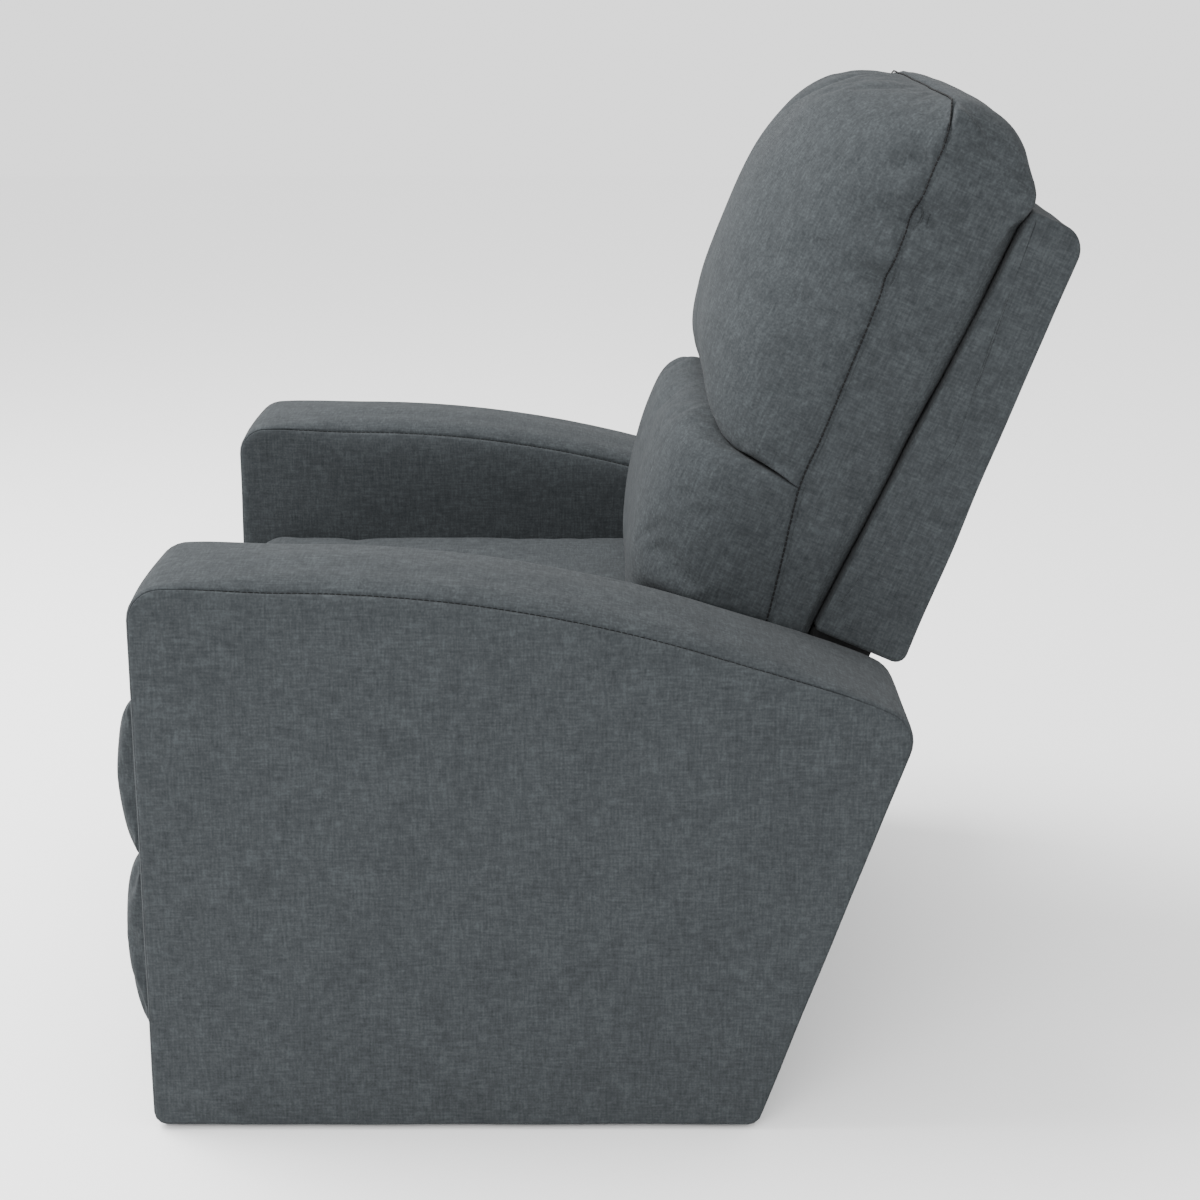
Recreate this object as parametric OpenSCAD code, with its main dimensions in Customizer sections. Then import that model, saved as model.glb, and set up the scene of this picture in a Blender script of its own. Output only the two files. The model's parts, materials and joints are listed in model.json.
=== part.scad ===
// Push-back recliner armchair. Two upholstered arm boxes carry steel tracks. A seat carriage
// slides on the tracks, the back leans on the carriage, and a footrest folds out on links.
// The sitter faces -Y, +X is the sitter's left and +Z is up. Sizes are in millimetres.

/* [Overall] */
// Width over both arms
chair_w = 920; // [860:10:1040]
// Width of one arm
arm_w = 180; // [150:5:200]
// Height of the arm at its highest point
arm_h = 580; // [560:5:700]
// Distance from the origin forward to the arm's front edge
arm_front = 437; // [430:1:520]
// Distance from the origin back to the arm's rear foot
arm_rear = 175; // [150:1:230]

/* [Arms] */
// Slope of the arm's rear edge from upright
arm_rear_slope = 19.5; // [10:0.5:22]
// Radius of the long arch along the arm's top
arm_arch_r = 1400; // [1200:50:2400]
// Distance from the origin forward to the top of that arch
arm_arch_y = 290; // [200:10:330]
// Radius of the arm's corners
arm_corner_r = 20; // [10:1:30]
// Thickness of the cover and its wadding
cover_t = 8; // [5:1:12]
// Height of the crowned wadding above the foam on the arm's top
arm_crown = 13; // [0:1:20]
// Thickness of the foam on the arm's top
arm_foam_t = 30; // [20:1:45]
// Thickness of the arm's plywood sides
ply_t = 12; // [9:1:18]
// Depth of the arm's lumber posts and rails
post_d = 40; // [30:1:60]
// Height of the floor glides below the arms
glide_h = 3; // [2:1:12]

/* [Seat] */
// Space between the seat or the back and each arm
side_gap = 4; // [3:0.5:10]
// Height of the seat frame's underside
seat_frame_z = 300; // [290:1:320]
// Height of the seat frame's rails
seat_rail_h = 45; // [35:1:60]
// Thickness of the seat frame's lumber
seat_rail_t = 35; // [25:1:40]
// Height of the seat cushion
seat_cushion_h = 92; // [70:1:130]
// Distance from the cushion's front to the arm's front edge
seat_set_back = 9; // [5:1:30]
// Distance from the origin back to the seat's rear board
seat_rear = 130; // [110:1:140]
// Number of sinuous springs under the seat
seat_springs_n = 5; // [3:1:6]
// How far the seat runs forward as the back leans
seat_travel = 90; // [60:5:100]

/* [Back] */
// Lean of the back at rest
back_lean = 23; // [15:0.5:26]
// Distance from the origin back to the back's pivot
pivot_y = 190; // [180:1:195]
// Height of the back's pivot
pivot_z = 330; // [325:1:340]
// Distance from the pivot up the lean to the outside back's lower edge
slab_foot = 152; // [130:1:180]
// Distance from the pivot up the lean to the outside back's upper edge
slab_top = 628; // [560:1:680]
// Thickness of the outside back at its foot
slab_foot_t = 99; // [90:1:120]
// Thickness of the outside back at its top
slab_top_t = 60; // [60:1:80]
// How far the upper pillow rises above the outside back
pillow_rise = 70; // [50:1:95]
// How far the pillows stand out in front of the back's pivot line
pillow_out = 248; // [220:1:260]
// Distance from the pivot up the lean to the crease between the pillows
crease_up = 300; // [270:1:330]
// Thickness of the back's lumber posts
back_post_w = 27; // [22:1:32]

/* [Footrest] */
// Height of the footrest's lower edge
foot_low = 25; // [20:1:40]
// Height of the footrest's upper edge
foot_high = 395; // [360:1:396]
// Thickness of the footrest board
foot_board_t = 15; // [12:1:18]
// Thickness of the footrest's padding
foot_pad_t = 50; // [35:1:60]
// Length of a link between its pin centres
link_len = 205; // [202:1:210]
// Distance between the two hip pins of a side plate
hip_gap = 55; // [50:1:58]
// Width of a link bar
link_w = 22; // [18:1:24]

/* [Steel and fits] */
// Thickness of the side plates and links
plate_t = 4; // [3:0.5:4]
// Radius of the link pins
pin_r = 4; // [3:0.5:5]
// Radius of the back's pivot pins
pivot_r = 6; // [5:0.5:7]
// Space round a pin that turns in a hole
pin_fit = 0.06; // [0.03:0.01:0.1]
// Height of the nylon glides in the tracks
glide_block_h = 26; // [20:1:30]
// Space above and below a nylon glide in its track
track_fit = 0.2; // [0.1:0.05:0.4]

/* [Hidden] */
$fn = 48;
eps = 0.3;                                  // space between soft pieces that face each other

// Across the chair: the arm's inner face, then the planes of the steel parts beside it
inner_x = chair_w / 2 - arm_w;
track_x = inner_x - 18;                     // inner edge of the track's flanges
plate_x = inner_x - 26;                     // inner face of the side plate
plane_gap = 1.5;                            // space between two neighbouring link planes
step = plate_t + plane_gap;
bar_x = plate_x - step - plane_gap;         // drive and guide links, and the back's brackets
knee_x = bar_x - step;                      // knee plates
outer_x = knee_x - step;                    // outer links
bracket_x = outer_x - step;                 // footrest brackets
half_back = inner_x - side_gap - 1;
half_seat = inner_x - side_gap;

// Along the seat
cushion_front = -arm_front + seat_set_back;
rail_front = cushion_front + 16;
cushion_z = seat_frame_z + seat_rail_h + 1;
rear_board_t = 15;
flange_t = 4;

// Tracks, with the nylon glide blocks that run in them
block_front = 270;
block_y = [-block_front, 100];
track_z = 225;
track_t = 3;
track_len_front = block_front + seat_travel + 25;
track_len_rear = 215;
track_half = glide_block_h / 2 + track_fit;
block_len = 60;

// Footrest links, as [y, z] points
hip = [-330, 250];
e_angle = 142;                              // direction from one hip pin to the other
hip2 = hip + hip_gap * [cos(e_angle), sin(e_angle)];
board_rear = -arm_front + 7;
foot_pin = [board_rear + 25, 195];
knee = knee_point(hip, foot_pin, link_len);
knee2 = knee + hip2 - hip;

// The lower meeting point of two arms of length l from a and b
function knee_point(a, b, l) =
    let (d = norm(b - a), m = (a + b) / 2, h = sqrt(l * l - d * d / 4), u = (b - a) / d)
    m + h * [-u.y, u.x] * (u.x < 0 ? 1 : -1);
function rear_edge(z) = arm_rear + z * tan(arm_rear_slope);

// An outline drawn in y and z, from x0 over a width w
module yz(x0, w) {
    translate([x0, 0, 0]) rotate([90, 0, 90]) linear_extrude(w) children();
}

module mirrored(right) {
    mirror([right ? 1 : 0, 0, 0]) children();
}

module both() {
    children();
    mirrored(true) children();
}

// A round bar along x through the point p = [y, z]
module x_rod(p, x0, x1, r) {
    translate([x0, p.x, p.y]) rotate([0, 90, 0]) cylinder(h = x1 - x0, r = r);
}

// A flat bar with round ends between two [y, z] points
module bar2d(p, q, w) hull() {
    translate(p) circle(w / 2, $fn = 32);
    translate(q) circle(w / 2, $fn = 32);
}

module in_back() {
    translate([0, pivot_y, pivot_z]) rotate([-back_lean, 0, 0]) children();
}

// ---- Arms ----
module arch(drop) {
    translate([-arm_arch_y, arm_h - arm_arch_r]) circle(arm_arch_r - drop, $fn = 360);
}

module arm_outline() {
    offset(r = arm_corner_r, $fn = 32) offset(delta = -arm_corner_r)
        intersection() {
            polygon([[-arm_front, glide_h], [-arm_front, arm_h + 1],
                [rear_edge(arm_h + 1), arm_h + 1], [rear_edge(glide_h), glide_h]]);
            arch(0);
        }
}

module arm_inside(gap) {
    offset(delta = -gap) arm_outline();
}

module frame_outline() {
    intersection() {
        arm_inside(cover_t + eps);
        arch(cover_t + arm_crown + arm_foam_t + eps);
    }
}

module arm_cover(right) color("dimgray") mirrored(right) difference() {
    yz(inner_x, arm_w) arm_outline();
    yz(inner_x + cover_t, arm_w - 2 * cover_t) {
        intersection() {
            arm_inside(cover_t);
            arch(cover_t + arm_crown);
        }
        translate([-arm_front + 2 * arm_corner_r, 0])
            square([arm_front + arm_rear - 4 * arm_corner_r, 3 * cover_t]);
    }
}

module arm_foam(right) color("khaki") mirrored(right)
    yz(inner_x + cover_t + eps, arm_w - 2 * (cover_t + eps)) difference() {
        intersection() {
            arm_inside(cover_t + eps);
            arch(cover_t + arm_crown + eps);
        }
        arch(cover_t + arm_crown + arm_foam_t);
    }

module arm_ply(right, x) color("burlywood") mirrored(right) yz(x, ply_t) frame_outline();

module arm_outer_ply(right) arm_ply(right, inner_x + arm_w - cover_t - eps - ply_t);

module arm_inner_ply(right) arm_ply(right, inner_x + cover_t + eps);

module arm_lumber(right) color("tan") mirrored(right)
    yz(inner_x + cover_t + eps + ply_t, arm_w - 2 * (cover_t + eps + ply_t)) difference() {
        frame_outline();
        offset(delta = -post_d) frame_outline();
        for (z = [arm_h - 200, 90])
            translate([-arm_front - 1, z]) square([arm_front + rear_edge(z), 1]);
    }

module floor_glides() color("black") both()
    for (y = [-arm_front + 70, arm_rear - 60])
        translate([inner_x + arm_w / 2, y, 0]) {
            cylinder(h = glide_h, r = 14);
            cylinder(h = glide_h + cover_t, r = 5);
        }

// ---- Base between the arms ----
module stretcher(y) color("tan") translate([-inner_x, y, 40]) cube([2 * inner_x, 22, 70]);

module front_stretcher() stretcher(-185);

module rear_stretcher() stretcher(arm_rear - 50);

rear_panel_top = 335;
rear_panel_low = glide_h + 7;

module rear_strip(inset, t) {
    polygon([[rear_edge(rear_panel_low) - inset - t, rear_panel_low],
        [rear_edge(rear_panel_low) - inset, rear_panel_low],
        [rear_edge(rear_panel_top) - inset, rear_panel_top],
        [rear_edge(rear_panel_top) - inset - t, rear_panel_top]]);
}

module rear_panel_board() color("burlywood") yz(-inner_x, 2 * inner_x) rear_strip(14, 10);

module rear_panel_cover() color("dimgray") yz(-inner_x, 2 * inner_x) rear_strip(6, 8);

module track(right) color("gray") mirrored(right)
    translate([0, -track_len_front, track_z]) {
        l = track_len_front + track_len_rear;
        difference() {
            translate([track_x, 0, -track_half - track_t])
                cube([inner_x - track_x, l, 2 * (track_half + track_t)]);
            translate([track_x - 1, -1, -track_half])
                cube([inner_x - track_x + 1 - track_t, l + 2, 2 * track_half]);
            for (y = bolt_y) translate([inner_x - track_t - 1, y + track_len_front, 0])
                rotate([0, 90, 0]) cylinder(h = track_t + 2, r = 3);
        }
    }

bolt_y = [-150, -20, 195];

module track_bolts() color("silver") both() for (y = bolt_y) {
    x_rod([y, track_z], inner_x - track_t, inner_x, 3);
    x_rod([y, track_z], inner_x - track_t - 1, inner_x - track_t, 7);
}

// ---- Seat carriage ----
plate_front = -395;
plate_low = 208;

module side_plate(right) color("slategray") mirrored(right) {
    difference() {
        yz(plate_x, plate_t) {
            translate([plate_front, plate_low])
                square([pivot_y + 22 - plate_front, seat_frame_z - plate_low]);
            translate([pivot_y - 22, seat_frame_z - 1]) square([44, pivot_z - seat_frame_z + 1]);
            translate([pivot_y, pivot_z]) circle(22);
        }
        for (p = [hip, hip2]) x_rod(p, plate_x - 1, plate_x + plate_t + 1, pin_r);
        x_rod([pivot_y, pivot_z], plate_x - 1, plate_x + plate_t + 1, pivot_r);
        for (p = tube_at) x_rod(p, plate_x - 1, plate_x + plate_t + 1, tube_r);
    }
    translate([rail_x0, rail_front, seat_frame_z - flange_t])
        difference() {
            cube([plate_x - rail_x0, seat_rear - rail_front, flange_t]);
            for (y = flange_bolts) translate([seat_rail_t / 2, y, -1])
                cylinder(h = flange_t + 2, r = 3);
        }
}

rail_x0 = plate_x - 7 - seat_rail_t;
tube_at = [[-150, 240], [155, 240]];
tube_r = 10;
flange_bolts = [60, 250, 440];

module track_glide_blocks() color("ivory") both() for (y = block_y)
    translate([plate_x + plate_t, y, track_z - glide_block_h / 2])
        cube([inner_x - track_t - 1.5 - plate_x - plate_t, block_len, glide_block_h]);

module cross_tube(p, half, r) difference() {
    x_rod(p, -half, half, r);
    x_rod(p, -half - 1, half + 1, r - 2);
}

module front_cross_tube() color("slategray")
    cross_tube(tube_at[0], plate_x + plate_t, tube_r);

module rear_cross_tube() color("slategray")
    cross_tube(tube_at[1], plate_x + plate_t, tube_r);

module hip_pins() color("silver") both() for (p = [hip, hip2]) {
    x_rod(p, bar_x - 0.3, plate_x + plate_t, pin_r);
    x_rod(p, plate_x + plate_t, plate_x + plate_t + 1.5, pin_r + 3);
    x_rod(p, bar_x - 1.3, bar_x - 0.3, pin_r + 2);
}

module back_pivot_pins() color("silver") both() {
    p = [pivot_y, pivot_z];
    x_rod(p, bar_x - 0.5, plate_x + plate_t, pivot_r);
    x_rod(p, plate_x + plate_t, plate_x + plate_t + 2, pivot_r + 4);
    x_rod(p, bar_x - 3, bar_x - 0.5, pivot_r + 3);
}

module seat_front_rail() color("tan") translate([-rail_x0 - seat_rail_t, rail_front, seat_frame_z])
    cube([2 * (rail_x0 + seat_rail_t), 22, seat_rail_h]);

module seat_rear_board() color("burlywood") translate([-rail_x0 - seat_rail_t, seat_rear, seat_frame_z])
    cube([2 * (rail_x0 + seat_rail_t), rear_board_t, seat_rail_h + 50]);

module seat_side_rail(right) color("tan") mirrored(right)
    translate([rail_x0, rail_front + 22, seat_frame_z])
        difference() {
            cube([seat_rail_t, seat_rear - rail_front - 22, seat_rail_h]);
            for (y = flange_bolts) translate([seat_rail_t / 2, y - 22, -1])
                cylinder(h = 26, r = 3);
        }

module seat_bolts() color("silver") both() for (y = flange_bolts)
    translate([rail_x0 + seat_rail_t / 2, rail_front + y, seat_frame_z]) {
        translate([0, 0, -flange_t]) cylinder(h = 25 + flange_t, r = 3);
        translate([0, 0, -flange_t - 3]) cylinder(h = 3, r = 6);
    }

spring_front = rail_front + 22 + 3;
spring_rear = seat_rear - 3;
spring_z = seat_frame_z + seat_rail_h - 12;
spring_amp = 22;
spring_wave = 32;
spring_lead = 5;                            // straight wire at each end, inside the clip
wire_r = 1.9;
function spring_x(i) = (i - (seat_springs_n - 1) / 2) * 2 * (rail_x0 - 30) / seat_springs_n;

// A wire swept along a list of points, with its ring in the plane across the path
module wire(points, r, sides) {
    n = len(points);
    function side_way(i) = let (
        a = points[max(i - 1, 0)], b = points[min(i + 1, n - 1)], t = (b - a) / norm(b - a),
        s = cross(t, [0, 0, 1])) s / norm(s);
    function up_way(i) = let (
        a = points[max(i - 1, 0)], b = points[min(i + 1, n - 1)], t = (b - a) / norm(b - a))
        cross(side_way(i), t);
    rings = [for (i = [0:n - 1], k = [0:sides - 1])
        points[i] + r * (cos(360 * k / sides) * side_way(i) + sin(360 * k / sides) * up_way(i))];
    walls = [for (i = [0:n - 2], k = [0:sides - 1])
        [i * sides + k, i * sides + (k + 1) % sides,
            (i + 1) * sides + (k + 1) % sides, (i + 1) * sides + k]];
    polyhedron(rings, concat(walls, [[for (k = [sides - 1:-1:0]) k]],
        [[for (k = [0:sides - 1]) (n - 1) * sides + k]]));
}

module seat_springs() color("dimgray") for (i = [0:seat_springs_n - 1]) {
    first = spring_front + spring_lead;
    run = spring_rear - spring_lead - first;
    steps = round(run / spring_wave) * 6;
    wire(concat([[spring_x(i), spring_front, spring_z]],
        [for (k = [0:steps])
            [spring_x(i) + spring_amp * sin(k * 60), first + run * k / steps, spring_z]],
        [[spring_x(i), spring_rear, spring_z]]), wire_r, 6);
}

module seat_spring_clips() color("black") for (i = [0:seat_springs_n - 1])
    for (y = [rail_front + 22, spring_rear])
        translate([spring_x(i) - 9, y, spring_z - 6]) cube([18, 3, 12]);

module seat_cushion() color("gray")
    translate([-half_seat, cushion_front, cushion_z])
        cube([2 * half_seat, seat_rear - 2 - cushion_front, seat_cushion_h]);

// ---- Back, drawn upright about its pivot and then leaned ----
post_front = 18;
post_back = 50;
post_x = bar_x - 0.5 - back_post_w;
slab_front_foot = -11;
slab_front_top = 9;
slab_wall = 9;
function slab_front(z) = slab_front_foot
    + (slab_front_top - slab_front_foot) * (z - slab_foot) / (slab_top - slab_foot);

module back_bracket(right) color("slategray") mirrored(right) in_back() difference() {
    yz(bar_x, plate_t) {
        circle(20);
        bar2d([0, 0], [post_front + 16, 60], 36);
        bar2d([post_front + 16, 60], [post_front + 16, 190], 30);
    }
    x_rod([0, 0], bar_x - 1, bar_x + plate_t + 1, pivot_r + pin_fit);
    for (z = bracket_bolts) x_rod([post_front + 16, z], bar_x - 1, bar_x + plate_t + 1, 3);
}

bracket_bolts = [90, 170];

module back_post(right) color("tan") mirrored(right) in_back() difference() {
    translate([post_x, post_front, 35])
        cube([back_post_w, post_back - post_front, slab_top - 40 - 35]);
    for (z = bracket_bolts) x_rod([post_front + 16, z], bar_x - 20, bar_x, 3);
}

module back_bolts() color("silver") both() in_back() for (z = bracket_bolts) {
    x_rod([post_front + 16, z], bar_x - 19, bar_x + plate_t, 3);
    x_rod([post_front + 16, z], bar_x + plate_t, bar_x + plate_t + 2.5, 6);
}

module back_rail(z, h) color("tan") in_back()
    translate([-post_x, post_front, z]) cube([2 * post_x, post_back - post_front, h]);

module back_top_rail() back_rail(slab_top - 85, 45);

module back_bottom_rail() back_rail(slab_foot + slab_wall + 6, 45);

module back_webbing() color("saddlebrown") in_back() for (i = [0:4])
    translate([-post_x - back_post_w, post_front - 3, slab_foot + 80 + i * (slab_top - slab_foot - 170) / 4])
        cube([2 * (post_x + back_post_w), 2.5, 50]);

module slab_outline(inset) {
    polygon([[slab_front_foot - 1, slab_foot + inset],
        [slab_front_foot + slab_foot_t - inset, slab_foot + inset],
        [slab_front_top + slab_top_t - inset, slab_top - 10 - inset],
        [slab_front_top + slab_top_t - 10 - inset, slab_top - inset],
        [slab_front_top - 1, slab_top - inset]]);
}

module outer_back() color("dimgray") in_back() difference() {
    yz(-half_back, 2 * half_back) difference() {
        slab_outline(0);
        polygon([[slab_front_foot - 9, slab_foot - 1], [slab_front_foot, slab_foot - 1],
            [slab_front_top, slab_top + 1], [slab_front_top - 9, slab_top + 1]]);
    }
    yz(-half_back + slab_wall, 2 * (half_back - slab_wall)) slab_outline(slab_wall);
    both() translate([post_x - 3, slab_front_foot - 1, slab_foot - 1])
        cube([back_post_w + plate_t + 8, post_back + 6 - slab_front_foot, slab_wall + 2]);
}

module core_outline(grow) {
    polygon([[-60 - grow, 120 - grow], [slab_front(120) - eps + grow, 120 - grow],
        [slab_front_top - eps + grow, slab_top - 4 + grow], [-98 - grow, slab_top - 4 + grow]]);
}

module inner_back_pad() color("gray") in_back()
    yz(-half_back, 2 * half_back) core_outline(0);

module upper_pillow() color("gray") in_back() yz(-half_back, 2 * half_back) difference() {
    hull() {
        translate([-pillow_out + 76, crease_up + 70]) circle(68, $fn = 32);
        translate([-pillow_out + 80, crease_up + 190]) circle(80, $fn = 32);
        translate([-pillow_out + 106, slab_top + pillow_rise - 104]) circle(100, $fn = 32);
        translate([-60, slab_top + pillow_rise - 100]) circle(100, $fn = 32);
        translate([slab_top_t - 74, slab_top + pillow_rise - 66]) circle(62, $fn = 32);
        translate([-110, crease_up + 14]) circle(12, $fn = 32);
    }
    core_outline(eps);
    translate([slab_front_top - 40, 0]) square([200, slab_top + eps]);
}

module lumbar_pillow() color("gray") in_back() yz(-half_back, 2 * half_back) difference() {
    hull() {
        translate([-155, 103]) circle(40, $fn = 32);
        translate([-pillow_out + 80, 190]) circle(58, $fn = 32);
        translate([-pillow_out + 70, crease_up - 52]) circle(50, $fn = 32);
        translate([-95, crease_up - 16]) circle(14, $fn = 32);
        translate([-90, 132]) circle(16, $fn = 32);
    }
    core_outline(eps);
}

// ---- Footrest and its links ----
module drive_links() color("slategray") both() difference() {
    yz(bar_x, plate_t) bar2d(hip, knee, link_w);
    for (p = [hip, knee]) x_rod(p, bar_x - 1, bar_x + plate_t + 1, pin_r + pin_fit);
}

module drive_cross_tube() color("slategray")
    cross_tube((hip + knee) / 2, bar_x, 8);

module guide_links() color("slategray") both() difference() {
    yz(bar_x, plate_t) bar2d(hip2, knee2, link_w);
    for (p = [hip2, knee2]) x_rod(p, bar_x - 1, bar_x + plate_t + 1, pin_r + pin_fit);
}

module knee_plates() color("slategray") both() difference() {
    yz(knee_x, plate_t) bar2d(knee, knee2, link_w + 4);
    for (p = [knee, knee2]) x_rod(p, knee_x - 1, knee_x + plate_t + 1, pin_r);
}

module knee_pins() color("silver") both() {
    x_rod(knee, outer_x - 0.3, bar_x + plate_t + 0.3, pin_r);
    x_rod(knee, outer_x - 2.3, outer_x - 0.3, pin_r + 2);
    x_rod(knee2, knee_x - 1, bar_x + plate_t + 0.3, pin_r);
    for (p = [knee, knee2])
        x_rod(p, bar_x + plate_t + 0.3, bar_x + plate_t + 1.6, pin_r + 2);
}

module outer_links() color("slategray") both() difference() {
    yz(outer_x, plate_t) bar2d(knee, foot_pin, link_w);
    for (p = [knee, foot_pin]) x_rod(p, outer_x - 1, outer_x + plate_t + 1, pin_r + pin_fit);
}

module outer_cross_tube() color("slategray")
    cross_tube((knee + foot_pin) / 2, outer_x, 8);

bracket_half = 50;

module footrest_brackets() color("slategray") both() difference() {
    union() {
        yz(bracket_x, plate_t) {
            translate(foot_pin) circle(14);
            translate([board_rear, foot_pin.y - 14]) square([foot_pin.x - board_rear, 28]);
        }
        translate([bracket_x - 30, board_rear, foot_pin.y - bracket_half])
            cube([30 + plate_t, 3, 2 * bracket_half]);
    }
    x_rod(foot_pin, bracket_x - 1, bracket_x + plate_t + 1, pin_r);
    for (z = screw_dz) translate([bracket_x - 15, board_rear + 4, foot_pin.y + z])
        rotate([90, 0, 0]) cylinder(h = 5, r = 2.5);
}

screw_dz = [-36, 36];

module footrest_screws() color("silver") both() for (z = screw_dz)
    translate([bracket_x - 15, board_rear + 3, foot_pin.y + z]) rotate([90, 0, 0]) {
        cylinder(h = 3 + foot_board_t - 3, r = 2.5);
        translate([0, 0, -2]) cylinder(h = 2, r = 5);
    }

module footrest_pins() color("silver") both() {
    x_rod(foot_pin, bracket_x - 1, outer_x + plate_t + 0.3, pin_r);
    x_rod(foot_pin, outer_x + plate_t + 0.3, outer_x + plate_t + 1.3, pin_r + 2);
}

module footrest_board() color("burlywood") difference() {
    translate([-half_back + 12, board_rear - foot_board_t, foot_low + 10])
        cube([2 * (half_back - 12), foot_board_t, foot_high - foot_low - 20]);
    both() for (z = screw_dz) translate([bracket_x - 15, board_rear + 1, foot_pin.y + z])
        rotate([90, 0, 0]) cylinder(h = foot_board_t - 2, r = 2.5);
}

module footrest_pad(z0, z1) color("gray")
    translate([-half_back, board_rear - foot_board_t - foot_pad_t, z0])
        cube([2 * half_back, foot_pad_t, z1 - z0]);

foot_mid = 221;

module upper_footrest_pad() footrest_pad(foot_mid + 1, foot_high);

module lower_footrest_pad() footrest_pad(foot_low, foot_mid - 1);

// Tension springs that hold the footrest shut, hooked between the side plates and drive links
spring_hook = [-165, 222];
link_hook = hip + (knee - hip) * 0.3;
coil_r = 7;
coil_x = knee_x - 9;
coil_wire = 1.2;
hook_len = 16;

module footrest_springs() color("silver") both() {
    way = link_hook - spring_hook;
    l = norm(way);
    translate([coil_x, spring_hook.x, spring_hook.y]) rotate([atan2(way.y, way.x), 0, 0])
        rotate([-90, 0, 0]) {
            translate([0, 0, hook_len]) difference() {
                cylinder(h = l - 2 * hook_len, r = coil_r);
                translate([0, 0, coil_wire * 2])
                    cylinder(h = l - 2 * hook_len - 4 * coil_wire, r = coil_r - 2 * coil_wire);
            }
            for (z = [4, l - hook_len]) translate([0, 0, z])
                cylinder(h = hook_len - 4, r = coil_wire);
        }
}

arm_cover(false);  // left_arm_cover
arm_cover(true);  // right_arm_cover
arm_foam(false);  // left_arm_foam
arm_foam(true);  // right_arm_foam
arm_outer_ply(false);  // left_arm_outer_ply
arm_outer_ply(true);  // right_arm_outer_ply
arm_inner_ply(false);  // left_arm_inner_ply
arm_inner_ply(true);  // right_arm_inner_ply
arm_lumber(false);  // left_arm_lumber
arm_lumber(true);  // right_arm_lumber
floor_glides();
front_stretcher();
rear_stretcher();
rear_panel_board();
rear_panel_cover();
track(false);  // left_track
track(true);  // right_track
track_bolts();
side_plate(false);  // left_side_plate
side_plate(true);  // right_side_plate
track_glide_blocks();
front_cross_tube();
rear_cross_tube();
hip_pins();
back_pivot_pins();
seat_front_rail();
seat_rear_board();
seat_side_rail(false);  // seat_left_rail
seat_side_rail(true);  // seat_right_rail
seat_springs();
seat_spring_clips();
seat_bolts();
seat_cushion();
back_bracket(false);  // left_back_bracket
back_bracket(true);  // right_back_bracket
back_post(false);  // left_back_post
back_post(true);  // right_back_post
back_top_rail();
back_bottom_rail();
back_webbing();
back_bolts();
outer_back();
inner_back_pad();
upper_pillow();
lumbar_pillow();
drive_links();
drive_cross_tube();
guide_links();
knee_plates();
knee_pins();
outer_links();
outer_cross_tube();
footrest_brackets();
footrest_pins();
footrest_board();
footrest_screws();
upper_footrest_pad();
lower_footrest_pad();
footrest_springs();
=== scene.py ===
import json
import math

import bpy
import numpy as np
from mathutils import Matrix, Vector, noise


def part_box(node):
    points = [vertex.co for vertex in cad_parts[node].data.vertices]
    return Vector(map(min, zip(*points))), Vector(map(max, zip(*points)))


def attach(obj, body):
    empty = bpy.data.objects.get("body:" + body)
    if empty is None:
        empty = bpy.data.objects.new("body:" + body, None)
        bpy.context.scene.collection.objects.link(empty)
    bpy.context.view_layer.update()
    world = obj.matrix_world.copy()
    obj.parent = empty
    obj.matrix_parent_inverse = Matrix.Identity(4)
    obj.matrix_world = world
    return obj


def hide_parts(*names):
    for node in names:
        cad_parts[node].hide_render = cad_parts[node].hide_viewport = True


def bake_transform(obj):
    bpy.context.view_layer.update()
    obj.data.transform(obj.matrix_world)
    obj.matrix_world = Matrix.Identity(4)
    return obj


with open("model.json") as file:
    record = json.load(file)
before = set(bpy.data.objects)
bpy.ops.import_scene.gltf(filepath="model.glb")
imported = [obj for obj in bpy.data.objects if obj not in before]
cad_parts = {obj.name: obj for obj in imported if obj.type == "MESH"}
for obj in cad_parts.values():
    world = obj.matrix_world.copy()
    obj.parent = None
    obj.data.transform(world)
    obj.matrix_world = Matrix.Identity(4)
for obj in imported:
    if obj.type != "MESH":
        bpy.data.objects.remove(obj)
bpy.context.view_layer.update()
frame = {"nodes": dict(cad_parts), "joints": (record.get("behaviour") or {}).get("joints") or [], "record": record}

scene = bpy.context.scene

# ---------------------------------------------------------------- driving sizes, in metres
BACK_LEAN = math.radians(23)        # the back's lean from upright
SEAM_DIP = 0.0022                   # how far a sewn seam pulls the cover in
STITCH_STEP = 0.0060                # spacing of the stitches along a seam
STITCH_LENGTH = 0.0046
THREAD_R = 0.0009

joint = {j["name"]: j for j in frame["joints"]}
PIVOT = Vector(joint["back_recline"]["pos_m"])


# ---------------------------------------------------------------- small helpers
def smooth(low, high, value):
    """0 at low, 1 at high, and an S curve between them."""
    t = np.clip((np.asarray(value, float) - low) / (high - low), 0, 1)
    return t * t * (3 - 2 * t)


def hill(value, centre, width):
    """A soft hill of height 1 at centre."""
    return np.exp(-((np.asarray(value, float) - centre) / width) ** 2)


def even_steps(path, count, closed=False):
    """The same path cut into equal steps."""
    path = np.vstack([path, path[:1]]) if closed else np.asarray(path, float)
    run = np.concatenate([[0], np.cumsum(np.linalg.norm(np.diff(path, axis=0), axis=1))])
    at = np.linspace(0, run[-1], count, endpoint=not closed)
    return np.stack([np.interp(at, run, path[:, k]) for k in range(path.shape[1])], 1)


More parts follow.
